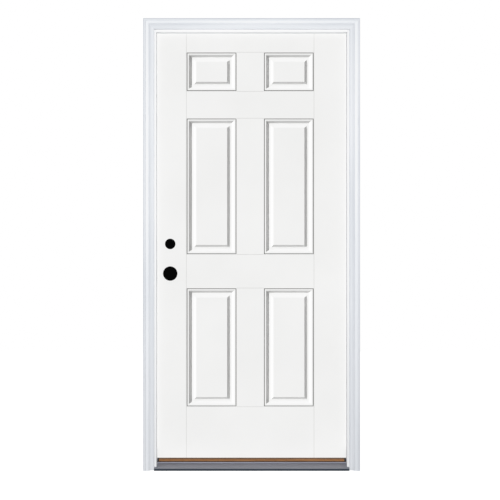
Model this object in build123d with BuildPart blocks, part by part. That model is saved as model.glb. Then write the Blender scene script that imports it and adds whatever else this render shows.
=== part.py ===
from build123d import *
from math import atan, degrees
import os

os.makedirs("parts", exist_ok=True)

# Lengths are in millimetres and angles in degrees.
# +X points to the hinge side as seen from outdoors, +Y points indoors and +Z points up.
# The origin is the middle of the sill's underside, in the plane of the jambs' outdoor edges.

# Overrun of every cut past the face it opens
overrun = 1.0

# Door panel
door_width = 908.0
door_height = 2006.6
door_thickness = 44.45
skin_thickness = 2.0
core_stile_width = 31.75
core_top_rail_height = 31.75
core_bottom_rail_height = 38.1
bond_line = 0.2

# Layout of the six moulded panels, from the door's edges inwards
lock_margin = 147.8
hinge_margin = 161.5
mullion_width = 130.1
bottom_margin = 242.0
bottom_panel_height = 556.6
lock_rail_height = 161.3
frieze_rail_height = 129.8
top_panel_height = 181.5
top_margin = 95.8

# Section of the panel moulding, from its outer edge to the raised field
quirk_width = 3.4
quirk_depth = 5.0
quirk_draft = 0.3
quirk_wall = 1.2
bead_width = 6.7
bead_depth = 0.3
bead_rise = 0.3
ogee_width = 11.8
ogee_bow = 0.6
moulding_depth = 11.0
flat_width = 11.8
flat_rise = 0.9
cove_radius = 5.0
bevel_width = 10.0
field_depth = 0.4

# Fine joint lines between stiles, rails and mullion
joint_line_width = 1.2
joint_line_depth = 0.6
joint_line_offset = 1.6

# Lock preparation
backset = 69.85
lock_height = 868.7
lock_spacing = 139.7
lock_bore_radius = 27.0
deadbolt_bore_radius = 19.05
latch_bore_radius = 12.7
faceplate_width = 25.4
faceplate_height = 57.15
faceplate_depth = 3.2
faceplate_corner_radius = 6.35
lock_block_width = 85.0
lock_block_reach = 100.0

# Bore plugs
plug_flange_thickness = 1.8
plug_edge_radius = 1.2
lock_plug_radius = 34.0
deadbolt_plug_radius = 24.7
plug_seat_margin = 1.0
plug_clearance = 0.1

# Frame
edge_gap = 3.2
seal_gap = 6.45
jamb_depth = 115.9
jamb_thickness = 19.05
rabbet_depth = 12.7
stop_corner_radius = 1.6
kerf_width = 3.0
kerf_depth = 10.0
kerf_inset = 2.6

# Strike preparation in the jamb
strike_width = 28.6
strike_height = 69.85
strike_depth = 1.6
strike_corner_radius = 6.35

# Brickmould, from its inner edge to its outer edge
brickmould_width = 50.8
brickmould_thickness = 31.75
brickmould_reveal = 9.5
mould_lip = 17.5
mould_bead_width = 5.0
mould_bead_rise = 1.5
mould_quirk_width = 1.2
mould_cove_width = 18.3
mould_cove_bow = 1.8
mould_step = 2.0
mould_fillet_width = 2.0
mould_rim_width = 10.0
mould_rim_drop = 1.0
mould_crown_drop = 5.5
mould_groove_width = 2.4
mould_groove_depth = 2.2

# Weatherstrip and corner pads
seal_clearance = 0.3
bulb_inset = 1.5
bulb_corner_radius = 2.4
barb_clearance = 0.1
corner_pad_height = 48.0
corner_pad_chamfer = 2.0

# Sill
sill_height = 42.0
sill_gap = 4.0
nose_reach = 27.0
nose_height = 10.0
nose_radius = 2.4
deck_rear_height = 25.5
deck_thickness = 1.8
riser_lip = 4.0
riser_gap = 0.4
riser_seal_height = 3.5
riser_seal_radius = 0.8
deck_leg_depth = 12.0
deck_groove_width = 1.6
deck_groove_depth = 0.5
deck_groove_shares = (0.2, 0.35, 0.5, 0.65, 0.8)
slot_clearance = 0.3
sill_end_gap = 0.5

# Adjustable sill cap
cap_reach = 19.0
cap_thickness = 20.0
cap_front_radius = 6.0
cap_rear_radius = 2.5
cap_front_chamfer = 8.5
cap_travel = 3.0
cap_floor_gap = 0.5
cap_end_pad_width = 9.0
cap_screw_shares = (-0.42, -0.14, 0.14, 0.42)
cap_screw_radius = 2.5
cap_screw_head_radius = 3.2
cap_screw_head_sink = 2.0
cap_screw_flange_radius = 6.0
cap_screw_flange_thickness = 2.0
cap_screw_tip_height = 5.0
cap_screw_slot_width = 1.0
cap_screw_slot_depth = 1.6
cap_screw_clearance = 0.3
cap_pocket_floor = 14.0
cap_pocket_clearance = 1.0
cap_thread_end = 1.5

# Door sweep
sweep_base = 1.2
sweep_inset = 3.0
sweep_end_inset = 1.0
sweep_fin_width = 1.6
sweep_fin_shares = (0.02, 0.35, 0.68, 0.98)
sweep_barb_width = 2.0
sweep_barb_height = 6.0
sweep_barb_shares = (0.25, 0.75)

# Butt hinges
hinge_height = 101.6
leaf_thickness = 2.4
leaf_cover = 38.1
leaf_corner_radius = 15.9
mortise_clearance = 0.15
pin_standoff = 12.7
pin_radius = 3.175
pin_clearance = 0.05
pin_head_height = 2.6
pin_head_edge_radius = 1.0
barrel_radius = 6.2
barrel_clearance = 0.4
knuckle_count = 5
knuckle_gap = 0.4
top_hinge_drop = 177.8
bottom_hinge_rise = 279.4

# Wood screws
screw_fit = 0.05
screw_sink = 0.1
hinge_screw_radius = 2.3
hinge_screw_head_radius = 4.3
door_hinge_screw_length = 26.0
jamb_hinge_screw_length = 16.5
hinge_screw_outer_rise = 36.0
hinge_screw_inner_rise = 13.0
hinge_screw_outer_inset = 24.0
hinge_screw_inner_inset = 12.0
frame_screw_radius = 2.5
frame_screw_head_radius = 4.8
frame_screw_length = 55.0
frame_screw_front_inset = 30.0
frame_screw_rear_inset = 22.0
sill_screw_height = 9.0
screw_tip_share = 0.15
countersink_angle = 90

# Places worked out from the sizes above
door_half = door_width / 2
rabbet_x = door_half + edge_gap
stop_x = rabbet_x - rabbet_depth
jamb_x = rabbet_x + jamb_thickness
mould_inner_x = stop_x + brickmould_reveal
mould_outer_x = mould_inner_x + brickmould_width

door_back_y = jamb_depth
door_front_y = door_back_y - door_thickness
door_middle_y = door_back_y - door_thickness / 2
stop_depth = door_front_y - seal_gap
core_front_y = door_front_y + skin_thickness
core_back_y = door_back_y - skin_thickness

door_bottom_z = sill_height + sill_gap
door_top_z = door_bottom_z + door_height
head_rabbet_z = door_top_z + edge_gap
head_stop_z = head_rabbet_z - rabbet_depth
frame_top_z = head_rabbet_z + jamb_thickness
mould_inner_z = head_stop_z + brickmould_reveal
mould_top_z = mould_inner_z + brickmould_width

bore_x = -door_half + backset
lock_z = door_bottom_z + lock_height
deadbolt_z = lock_z + lock_spacing

moulding_width = quirk_width + bead_width + ogee_width + flat_width + bevel_width
panel_width = (door_width - lock_margin - hinge_margin - mullion_width) / 2
panel_lefts = [-door_half + lock_margin + i * (panel_width + mullion_width) for i in range(2)]
middle_panel_bottom = bottom_margin + bottom_panel_height + lock_rail_height
top_panel_bottom = door_height - top_margin - top_panel_height
middle_panel_height = top_panel_bottom - frieze_rail_height - middle_panel_bottom
panel_rows = [
    (door_bottom_z + bottom_margin, bottom_panel_height),
    (door_bottom_z + middle_panel_bottom, middle_panel_height),
    (door_bottom_z + top_panel_bottom, top_panel_height),
]

hinge_x = door_half + edge_gap / 2
hinge_y = door_back_y + pin_standoff
leaf_edge_y = door_back_y - leaf_cover
top_hinge_z = door_top_z - top_hinge_drop - hinge_height / 2
bottom_hinge_z = door_bottom_z + bottom_hinge_rise + hinge_height / 2
hinge_places = {
    "top": top_hinge_z,
    "middle": (top_hinge_z + bottom_hinge_z) / 2,
    "bottom": bottom_hinge_z,
}
leaf_screw_places = [
    (leaf_edge_y + hinge_screw_outer_inset, -hinge_screw_outer_rise),
    (leaf_edge_y + hinge_screw_inner_inset, -hinge_screw_inner_rise),
    (leaf_edge_y + hinge_screw_inner_inset, hinge_screw_inner_rise),
    (leaf_edge_y + hinge_screw_outer_inset, hinge_screw_outer_rise),
]

cap_front_y = door_front_y - cap_reach
cap_bottom_z = sill_height - cap_thickness
cap_half = stop_x - cap_end_pad_width
riser_back_y = cap_front_y - riser_gap
riser_front_y = riser_back_y - deck_thickness
riser_top_z = deck_rear_height + riser_lip
deck_leg_z = deck_rear_height - deck_leg_depth
substrate_top_z = cap_bottom_z - cap_travel - cap_floor_gap
cap_screw_y = (cap_front_y + jamb_depth) / 2
cap_screw_xs = [share * 2 * cap_half for share in cap_screw_shares]
frame_screw_ys = (frame_screw_front_inset, jamb_depth - frame_screw_rear_inset)
head_screw_z = (head_rabbet_z + frame_top_z) / 2

kerf_outer_x = rabbet_x - kerf_inset
kerf_inner_x = kerf_outer_x - kerf_width


def save(piece, name):
    """Label a finished piece and write it to its own STEP file."""
    piece.part.label = name
    export_step(piece.part, f"parts/{name}.step")


def indoor_mirror(part):
    """The same part seen on the door's indoor half."""
    return part.mirror(Plane.XZ.offset(-door_middle_y))


def facing_x(x, y, z, direction):
    """A work plane at a point, with its normal along +X or -X."""
    return Plane(origin=(x, y, z), x_dir=(0, 0, 1), z_dir=(direction, 0, 0))


def facing_outdoors(x, y, z):
    """A work plane at a point, with its normal outdoors."""
    return Plane(origin=(x, y, z), x_dir=(1, 0, 0), z_dir=(0, -1, 0))


# Panel mouldings


def moulding_cutter(left, bottom, height, quirk_growth):
    """The hollow of one moulded panel in the outdoor face, its quirk widened on both sides."""
    face = facing_outdoors(left + panel_width / 2, door_front_y, bottom + height / 2)
    start = Plane(
        origin=(left + panel_width / 2, door_front_y, bottom), x_dir=(0, 0, 1), z_dir=(1, 0, 0)
    )
    quirk_start = (-quirk_growth, 0)
    quirk_foot_start = (quirk_draft - quirk_growth, -quirk_depth)
    quirk_foot_end = (quirk_width - quirk_draft + quirk_growth, -quirk_depth)
    bead_start = (quirk_width + quirk_growth, -bead_depth)
    ogee_start = (quirk_width + bead_width, -bead_depth)
    bead_top = ((bead_start[0] + ogee_start[0]) / 2, bead_rise - bead_depth)
    ogee_end = (ogee_start[0] + ogee_width, -moulding_depth)
    ogee_middle = ((ogee_start[0] + ogee_end[0]) / 2, (ogee_start[1] + ogee_end[1]) / 2)
    bevel_foot = (ogee_end[0] + flat_width, flat_rise - moulding_depth)
    bevel_top = (moulding_width, -field_depth)
    with BuildPart() as cutter:
        with BuildLine(face) as route:
            Polyline(
                (0, -height / 2),
                (panel_width / 2, -height / 2),
                (panel_width / 2, height / 2),
                (-panel_width / 2, height / 2),
                (-panel_width / 2, -height / 2),
                close=True,
            )
        with BuildSketch(start):
            with BuildLine():
                Polyline(
                    bevel_top,
                    (moulding_width, overrun),
                    (-quirk_growth, overrun),
                    quirk_start,
                    quirk_foot_start,
                    quirk_foot_end,
                    bead_start,
                )
                ThreePointArc(bead_start, bead_top, ogee_start)
                SagittaArc(ogee_start, ogee_middle, ogee_bow)
                SagittaArc(ogee_middle, ogee_end, -ogee_bow)
                FilletPolyline(ogee_end, bevel_foot, bevel_top, radius=cove_radius)
            make_face()
        sweep(path=route.wires()[0], transition=Transition.RIGHT)
        with BuildSketch(face.offset(overrun)):
            Rectangle(panel_width - 2 * moulding_width, height - 2 * moulding_width)
        extrude(amount=-(field_depth + overrun))
    return cutter.part


def moulding_cutters(quirk_growth):
    """The hollows of all six panels."""
    return [
        moulding_cutter(left, bottom, height, quirk_growth)
        for left in panel_lefts
        for bottom, height in panel_rows
    ]


face_cutters = moulding_cutters(0)
back_cutters = moulding_cutters(quirk_wall)


# Door skins

door_face = facing_outdoors(0, door_front_y, door_bottom_z + door_height / 2)


def embossed_blank(cutters):
    """A slab with the hollows of the six panels in its outdoor face."""
    with BuildPart() as blank:
        with BuildSketch(door_face):
            Rectangle(door_width, door_height)
        extrude(amount=-(moulding_depth + skin_thickness))
        for cutter in cutters:
            add(cutter, mode=Mode.SUBTRACT)
    return blank.part


joint_line_xs = (
    panel_lefts[0] - joint_line_offset,
    panel_lefts[1] + panel_width + joint_line_offset,
)
joint_line_zs = [
    z
    for bottom, height in panel_rows
    for z in (bottom - joint_line_offset, bottom + height + joint_line_offset)
]
mullion_middle_x = panel_lefts[1] - mullion_width / 2

with BuildPart() as joint_lines:
    with BuildSketch(Plane.XY.offset(door_bottom_z - overrun)):
        with Locations(*[(x, door_front_y) for x in joint_line_xs]):
            Polygon(
                (-joint_line_width / 2, 0),
                (joint_line_width / 2, 0),
                (0, joint_line_depth),
                align=None,
            )
    extrude(amount=door_height + 2 * overrun)
    with BuildSketch(Plane.YZ.offset(mullion_middle_x)):
        with Locations(*[(door_front_y, z) for z in joint_line_zs]):
            Polygon(
                (0, -joint_line_width / 2),
                (joint_line_depth, 0),
                (0, joint_line_width / 2),
                align=None,
            )
    extrude(amount=mullion_width / 2 - joint_line_offset, both=True)

with BuildPart() as skin_blank:
    add(embossed_blank(face_cutters))
    add(embossed_blank(back_cutters).moved(Location((0, skin_thickness, 0))), mode=Mode.SUBTRACT)
    add(joint_lines.part, mode=Mode.SUBTRACT)

bore_planes = {
    lock_bore_radius: facing_outdoors(bore_x, door_front_y, lock_z),
    deadbolt_bore_radius: facing_outdoors(bore_x, door_front_y, deadbolt_z),
}

with BuildPart() as exterior_skin:
    add(skin_blank.part)
    for radius, plane in bore_planes.items():
        with Locations(plane):
            Hole(radius + plug_seat_margin, depth=skin_thickness)
save(exterior_skin, "exterior_skin")


# Hinge leaves and their mortises


def leaf_plate(face_x, direction, grow):
    """A flat hinge leaf around height zero, from its exposed face into what it is let into."""
    half_height = hinge_height / 2 + grow
    with BuildPart() as plate:
        with BuildSketch(Plane.YZ.offset(face_x)) as outline:
            with BuildLine():
                Polyline(
                    (leaf_edge_y - grow, -half_height),
                    (hinge_y, -half_height),
                    (hinge_y, half_height),
                    (leaf_edge_y - grow, half_height),
                    close=True,
                )
            make_face()
            fillet(outline.vertices().group_by(Axis.X)[0], leaf_corner_radius + grow)
        extrude(amount=direction * leaf_thickness)
    return plate.part


def hinge_leaf(face_x, direction, own_knuckles):
    """A butt hinge leaf with its own knuckles, room for the other leaf's, and countersunk holes."""
    pitch = hinge_height / knuckle_count
    knuckle_zs = [(2 * i + 1 - knuckle_count) * pitch / 2 for i in range(knuckle_count)]
    own_places = [(hinge_x, hinge_y, knuckle_zs[i]) for i in own_knuckles]
    other_places = [(hinge_x, hinge_y, z) for i, z in enumerate(knuckle_zs) if i not in own_knuckles]
    with BuildPart() as leaf:
        add(leaf_plate(face_x, direction, 0))
        with Locations(*other_places):
            Cylinder(barrel_radius + barrel_clearance, pitch, mode=Mode.SUBTRACT)
        with Locations(*own_places):
            Cylinder(barrel_radius, pitch - knuckle_gap)
        with Locations((hinge_x, hinge_y, 0)):
            Cylinder(pin_radius + pin_clearance, hinge_height + 2 * overrun, mode=Mode.SUBTRACT)
        for y, z in leaf_screw_places:
            with Locations(facing_x(face_x, y, z, -direction)):
                CounterSinkHole(
                    hinge_screw_radius + screw_fit,
                    hinge_screw_head_radius + screw_sink + screw_fit,
                    depth=leaf_thickness,
                    counter_sink_angle=countersink_angle,
                )
    return leaf.part


def screw(radius, head_radius, length):
    """A countersunk wood screw, with its head at the origin and its tip along -Z."""
    head_height = head_radius - radius
    with BuildPart() as body:
        with BuildSketch(Plane.XZ):
            with BuildLine():
                Polyline(
                    (0, 0),
                    (head_radius, 0),
                    (radius, -head_height),
                    (radius, -length * (1 - screw_tip_share)),
                    (0, -length),
                    close=True,
                )
            make_face()
        revolve(axis=Axis.Z)
    return body.part


jamb_leaf = hinge_leaf(rabbet_x, 1, [i for i in range(knuckle_count) if i % 2 == 0])
door_leaf = hinge_leaf(door_half, -1, [i for i in range(knuckle_count) if i % 2 == 1])

for place, z in hinge_places.items():
    with BuildPart() as fixed_leaf:
        with Locations((0, 0, z)):
            add(jamb_leaf)
    save(fixed_leaf, f"{place}_hinge_jamb_leaf")

    with BuildPart() as moving_leaf:
        with Locations((0, 0, z)):
            add(door_leaf)
    save(moving_leaf, f"{place}_hinge_door_leaf")

    with BuildPart() as hinge_pin:
        with Locations((hinge_x, hinge_y, z)):
            Cylinder(pin_radius, hinge_height)
        with Locations((hinge_x, hinge_y, z + hinge_height / 2)):
            Cylinder(barrel_radius, pin_head_height, align=(Align.CENTER, Align.CENTER, Align.MIN))
        fillet(hinge_pin.edges().group_by(Axis.Z)[-1], pin_head_edge_radius)
    save(hinge_pin, f"{place}_hinge_pin")


def hinge_screw_planes(face_x, direction):
    """Planes on the exposed faces of three leaves, one for each screw, with normals off the leaf."""
    return [
        facing_x(face_x, y, hinge_z + z, -direction)
        for hinge_z in hinge_places.values()
        for y, z in leaf_screw_places
    ]


def hinge_seat_cutters(face_x, direction):
    """Mortises for the three leaves on one side."""
    plate = leaf_plate(face_x, direction, mortise_clearance)
    return [plate.moved(Location((0, 0, z))) for z in hinge_places.values()]


jamb_screw_planes = hinge_screw_planes(rabbet_x, 1)
door_screw_planes = hinge_screw_planes(door_half, -1)
jamb_mortises = hinge_seat_cutters(rabbet_x, 1)
door_mortises = hinge_seat_cutters(door_half, -1)

with BuildPart() as jamb_hinge_screws:
    with Locations(*[plane.offset(-screw_sink) for plane in jamb_screw_planes]):
        add(screw(hinge_screw_radius, hinge_screw_head_radius, jamb_hinge_screw_length))
save(jamb_hinge_screws, "jamb_hinge_screws")

with BuildPart() as door_hinge_screws:
    with Locations(*[plane.offset(-screw_sink) for plane in door_screw_planes]):
        add(screw(hinge_screw_radius, hinge_screw_head_radius, door_hinge_screw_length))
save(door_hinge_screws, "door_hinge_screws")


# Inside of the door

with BuildPart() as interior_skin:
    add(indoor_mirror(skin_blank.part))
    for radius, plane in bore_planes.items():
        with Locations(plane):
            Hole(radius, depth=door_thickness + overrun)
    for mortise in door_mortises:
        add(mortise, mode=Mode.SUBTRACT)
save(interior_skin, "interior_skin")

core_plane = facing_outdoors(0, core_front_y, door_bottom_z)
core_depth = core_back_y - core_front_y
core_half = door_half - core_stile_width
core_low = core_bottom_rail_height
core_high = door_height - core_top_rail_height
lock_block_low = lock_height - lock_block_reach
lock_block_high = lock_height + lock_spacing + lock_block_reach


def core_piece(left, right, low, high):
    """A straight piece between the two skins, by its sides and by heights above the door's bottom."""
    with BuildPart() as piece:
        with BuildSketch(core_plane):
            with Locations(((left + right) / 2, (low + high) / 2)):
                Rectangle(right - left, high - low)
        extrude(amount=-core_depth)
    return piece.part


edge_planes = [facing_x(-door_half, door_middle_y, z, -1) for z in (lock_z, deadbolt_z)]

with BuildPart() as lock_stile:
    add(core_piece(-door_half, -core_half, 0, door_height))
    for plane in edge_planes:
        with BuildSketch(plane):
            RectangleRounded(faceplate_height, faceplate_width, faceplate_corner_radius)
        extrude(amount=-faceplate_depth, mode=Mode.SUBTRACT)
        with Locations(plane):
            Hole(latch_bore_radius, depth=core_stile_width + overrun)
save(lock_stile, "lock_stile")

with BuildPart() as hinge_stile:
    add(core_piece(core_half, door_half, 0, door_height))
    for mortise in door_mortises:
        add(mortise, mode=Mode.SUBTRACT)
    for plane in door_screw_planes:
        with Locations(plane):
            Hole(hinge_screw_radius + screw_fit, depth=door_hinge_screw_length + overrun)
save(hinge_stile, "hinge_stile")

with BuildPart() as top_rail:
    add(core_piece(-core_half, core_half, core_high, door_height))
save(top_rail, "top_rail")

with BuildPart() as lock_block:
    add(core_piece(-core_half, -core_half + lock_block_width, lock_block_low, lock_block_high))
    for radius, plane in bore_planes.items():
        with Locations(plane):
            Hole(radius, depth=door_thickness)
    for plane in edge_planes:
        with Locations(plane):
            Hole(latch_bore_radius, depth=backset)
save(lock_block, "lock_block")

with BuildPart() as foam_core:
    add(core_piece(-core_half, core_half, core_low, core_high))
    add(
        core_piece(-core_half, -core_half + lock_block_width, lock_block_low, lock_block_high),
        mode=Mode.SUBTRACT,
    )
    for cutter in back_cutters:
        hollow = cutter.moved(Location((0, skin_thickness + bond_line, 0)))
        add(hollow, mode=Mode.SUBTRACT)
        add(indoor_mirror(hollow), mode=Mode.SUBTRACT)
save(foam_core, "foam_core")


# Door sweep and the rail that holds it

sweep_front_y = door_front_y + sweep_inset
sweep_depth = door_thickness - 2 * sweep_inset
sweep_half = door_half - sweep_end_inset
sweep_fin_drop = sill_gap - seal_clearance
sweep_barb_ys = [sweep_front_y + share * sweep_depth for share in sweep_barb_shares]
sweep_fin_ys = [sweep_front_y + share * sweep_depth for share in sweep_fin_shares]

with BuildPart() as bottom_rail:
    add(core_piece(-core_half, core_half, 0, core_low))
    with BuildSketch(Plane.YZ):
        with Locations(*[(y, door_bottom_z) for y in sweep_barb_ys]):
            Rectangle(
                sweep_barb_width + 2 * barb_clearance,
                sweep_barb_height + barb_clearance,
                align=(Align.CENTER, Align.MIN),
            )
    extrude(amount=door_half, both=True, mode=Mode.SUBTRACT)
save(bottom_rail, "bottom_rail")

with BuildPart() as door_sweep:
    with BuildSketch(Plane.YZ):
        with Locations((sweep_front_y, door_bottom_z)):
            Rectangle(sweep_depth, sweep_base, align=(Align.MIN, Align.MAX))
        with Locations(*[(y, door_bottom_z) for y in sweep_fin_ys]):
            Rectangle(sweep_fin_width, sweep_fin_drop, align=(Align.CENTER, Align.MAX))
    extrude(amount=sweep_half, both=True)
    with BuildSketch(Plane.YZ):
        with Locations(*[(y, door_bottom_z - sweep_base) for y in sweep_barb_ys]):
            Rectangle(
                sweep_barb_width, sweep_barb_height + sweep_base, align=(Align.CENTER, Align.MIN)
            )
    extrude(amount=core_half - barb_clearance, both=True)
save(door_sweep, "door_sweep")


# Bore plugs


def bore_plug(plane, bore_radius, flange_radius):
    """A moulded plug that closes a bore on the outdoor face."""
    spigot_radius = bore_radius + plug_seat_margin - plug_clearance
    with BuildPart() as plug:
        with BuildSketch(plane):
            Circle(flange_radius)
        extrude(amount=plug_flange_thickness)
        fillet(plug.edges().group_by(Axis.Y)[0], plug_edge_radius)
        with BuildSketch(plane):
            Circle(spigot_radius)
        extrude(amount=-skin_thickness)
    return plug


save(bore_plug(bore_planes[lock_bore_radius], lock_bore_radius, lock_plug_radius), "lock_bore_plug")
save(
    bore_plug(bore_planes[deadbolt_bore_radius], deadbolt_bore_radius, deadbolt_plug_radius),
    "deadbolt_bore_plug",
)


# Jambs


def jamb_outline(stop, rabbet, back, kerf_inner, kerf_outer):
    """Section of a rabbeted jamb as (across, depth) points, from the stop's outdoor corner."""
    kerf_floor = stop_depth - kerf_depth
    return [
        (stop, 0),
        (back, 0),
        (back, jamb_depth),
        (rabbet, jamb_depth),
        (rabbet, stop_depth),
        (kerf_outer, stop_depth),
        (kerf_outer, kerf_floor),
        (kerf_inner, kerf_floor),
        (kerf_inner, stop_depth),
        (stop, stop_depth),
    ]


with BuildPart() as jamb_blank:
    with BuildSketch() as jamb_section:
        with BuildLine():
            Polyline(
                *jamb_outline(stop_x, rabbet_x, jamb_x, kerf_inner_x, kerf_outer_x), close=True
            )
        make_face()
        fillet(jamb_section.vertices().group_by(Axis.X)[0], stop_corner_radius)
    extrude(amount=frame_top_z)
    for z in (sill_screw_height, head_screw_z):
        for y in frame_screw_ys:
            with Locations(facing_x(jamb_x, y, z, 1)):
                CounterSinkHole(
                    frame_screw_radius + screw_fit,
                    frame_screw_head_radius + screw_sink + screw_fit,
                    depth=jamb_thickness + rabbet_depth + overrun,
                    counter_sink_angle=countersink_angle,
                )

with BuildPart() as hinge_jamb:
    add(jamb_blank.part)
    for mortise in jamb_mortises:
        add(mortise, mode=Mode.SUBTRACT)
    for plane in jamb_screw_planes:
        with Locations(plane):
            Hole(hinge_screw_radius + screw_fit, depth=jamb_hinge_screw_length + overrun)
save(hinge_jamb, "hinge_jamb")

strike_planes = [facing_x(-rabbet_x, door_middle_y, z, 1) for z in (lock_z, deadbolt_z)]

with BuildPart() as strike_jamb:
    mirror(jamb_blank.part, about=Plane.YZ)
    for plane in strike_planes:
        with BuildSketch(plane):
            RectangleRounded(strike_height, strike_width, strike_corner_radius)
        extrude(amount=-strike_depth, mode=Mode.SUBTRACT)
        with Locations(plane):
            Hole(latch_bore_radius, depth=jamb_thickness)
save(strike_jamb, "strike_jamb")

head_kerf_outer = head_rabbet_z - kerf_inset
head_kerf_inner = head_kerf_outer - kerf_width

with BuildPart() as head_jamb:
    with BuildSketch(Plane.YZ) as head_section:
        with BuildLine():
            Polyline(
                *[
                    (depth, across)
                    for across, depth in jamb_outline(
                        head_stop_z, head_rabbet_z, frame_top_z, head_kerf_inner, head_kerf_outer
                    )
                ],
                close=True,
            )
        make_face()
        fillet(head_section.vertices().group_by(Axis.Y)[0], stop_corner_radius)
    extrude(amount=rabbet_x, both=True)
    with BuildSketch(Plane.XY.offset(frame_top_z)):
        with GridLocations(rabbet_x + stop_x, 0, 2, 1):
            with Locations((0, stop_depth / 2)):
                Rectangle(rabbet_depth, stop_depth)
    extrude(amount=-(jamb_thickness + rabbet_depth), mode=Mode.SUBTRACT)
    for side in (-1, 1):
        for y in frame_screw_ys:
            with Locations(facing_x(side * jamb_x, y, head_screw_z, side)):
                Hole(frame_screw_radius + screw_fit, depth=frame_screw_length + overrun)
save(head_jamb, "head_jamb")


def frame_screw_planes(z):
    """Planes on the outer faces of both jambs, one for each screw at a height."""
    return [
        facing_x(side * (jamb_x - screw_sink), y, z, side)
        for side in (-1, 1)
        for y in frame_screw_ys
    ]


for name, z in (("sill_screws", sill_screw_height), ("head_screws", head_screw_z)):
    with BuildPart() as frame_screws:
        with Locations(*frame_screw_planes(z)):
            add(screw(frame_screw_radius, frame_screw_head_radius, frame_screw_length))
    save(frame_screws, name)


# Brickmould


def mould_section(plane):
    """The brickmould's section, with its inner back corner at the plane's origin."""
    cove_start = mould_bead_width + mould_quirk_width
    cove_end = cove_start + mould_cove_width
    band_start = cove_end + mould_fillet_width
    cove_top = brickmould_thickness - mould_step
    rim_start = brickmould_width - mould_rim_width
    rim_top = brickmould_thickness - mould_rim_drop
    groove_start = rim_start - mould_groove_width
    groove_foot = (rim_start - mould_groove_width / 2, brickmould_thickness - mould_groove_depth)
    outer_edge = (brickmould_width, brickmould_thickness - mould_crown_drop)
    with BuildSketch(plane) as section:
        with BuildLine():
            Polyline(outer_edge, (brickmould_width, 0), (0, 0), (0, mould_lip))
            ThreePointArc(
                (0, mould_lip),
                (mould_bead_width / 2, mould_lip + mould_bead_rise),
                (mould_bead_width, mould_lip),
            )
            Line((mould_bead_width, mould_lip), (cove_start, mould_lip))
            SagittaArc((cove_start, mould_lip), (cove_end, cove_top), -mould_cove_bow)
            Polyline(
                (cove_end, cove_top),
                (band_start, cove_top),
                (band_start, brickmould_thickness),
                (groove_start, brickmould_thickness),
                groove_foot,
                (rim_start, rim_top),
            )
            TangentArc((rim_start, rim_top), outer_edge, tangent=(1, 0))
        make_face()
    return section.sketch


leg_plane = Plane(origin=(mould_inner_x, 0, 0), x_dir=(1, 0, 0), z_dir=(0, 0, -1))
head_plane = Plane(origin=(0, 0, mould_inner_z), x_dir=(0, 0, 1), z_dir=(1, 0, 0))

with BuildPart() as right_mould:
    extrude(mould_section(leg_plane), amount=mould_top_z, dir=(0, 0, 1))
    with BuildSketch(Plane.XZ):
        with BuildLine():
            Polyline(
                (mould_inner_x - overrun, mould_inner_z - overrun),
                (mould_outer_x + overrun, mould_top_z + overrun),
                (mould_inner_x - overrun, mould_top_z + overrun),
                close=True,
            )
        make_face()
    extrude(amount=brickmould_thickness, mode=Mode.SUBTRACT)
save(right_mould, "brickmould_right")

with BuildPart() as left_mould:
    mirror(right_mould.part, about=Plane.YZ)
save(left_mould, "brickmould_left")

with BuildPart() as head_mould:
    extrude(mould_section(head_plane), amount=mould_outer_x, both=True)
    with BuildSketch(Plane.XZ):
        with BuildLine():
            Polyline(
                (mould_inner_x - overrun, mould_inner_z - overrun),
                (mould_outer_x + overrun, mould_top_z + overrun),
                (mould_outer_x + overrun, mould_inner_z - overrun),
                close=True,
            )
        make_face()
        mirror(about=Plane.YZ)
    extrude(amount=brickmould_thickness, mode=Mode.SUBTRACT)
save(head_mould, "brickmould_head")


# Weatherstrip and corner pads

bulb_inner_x = stop_x + bulb_inset
bulb_outer_x = rabbet_x - seal_clearance
bulb_depth = seal_gap - seal_clearance
corner_pad_top_z = sill_height + seal_clearance + corner_pad_height

with BuildPart() as side_strip:
    with BuildSketch(Plane.XY.offset(corner_pad_top_z)) as strip_section:
        with BuildLine():
            Polyline(
                (bulb_inner_x, stop_depth),
                (bulb_outer_x, stop_depth),
                (bulb_outer_x, stop_depth + bulb_depth),
                (bulb_inner_x, stop_depth + bulb_depth),
                close=True,
            )
        make_face()
        fillet(strip_section.vertices().group_by(Axis.Y)[-1], bulb_corner_radius)
        with Locations(((kerf_inner_x + kerf_outer_x) / 2, stop_depth)):
            Rectangle(
                kerf_width - 2 * barb_clearance,
                kerf_depth - barb_clearance,
                align=(Align.CENTER, Align.MAX),
            )
    extrude(amount=head_rabbet_z - seal_clearance - corner_pad_top_z)
save(side_strip, "weatherstrip_hinge_side")

with BuildPart() as strike_strip:
    mirror(side_strip.part, about=Plane.YZ)
save(strike_strip, "weatherstrip_strike_side")

with BuildPart() as head_strip:
    with BuildSketch(Plane.YZ) as head_strip_section:
        with BuildLine():
            Polyline(
                (stop_depth, head_stop_z + bulb_inset),
                (stop_depth, head_rabbet_z - seal_clearance),
                (stop_depth + bulb_depth, head_rabbet_z - seal_clearance),
                (stop_depth + bulb_depth, head_stop_z + bulb_inset),
                close=True,
            )
        make_face()
        fillet(head_strip_section.vertices().group_by(Axis.X)[-1], bulb_corner_radius)
        with Locations((stop_depth, (head_kerf_inner + head_kerf_outer) / 2)):
            Rectangle(
                kerf_depth - barb_clearance,
                kerf_width - 2 * barb_clearance,
                align=(Align.MAX, Align.CENTER),
            )
    extrude(amount=stop_x, both=True)
save(head_strip, "weatherstrip_head")

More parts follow.
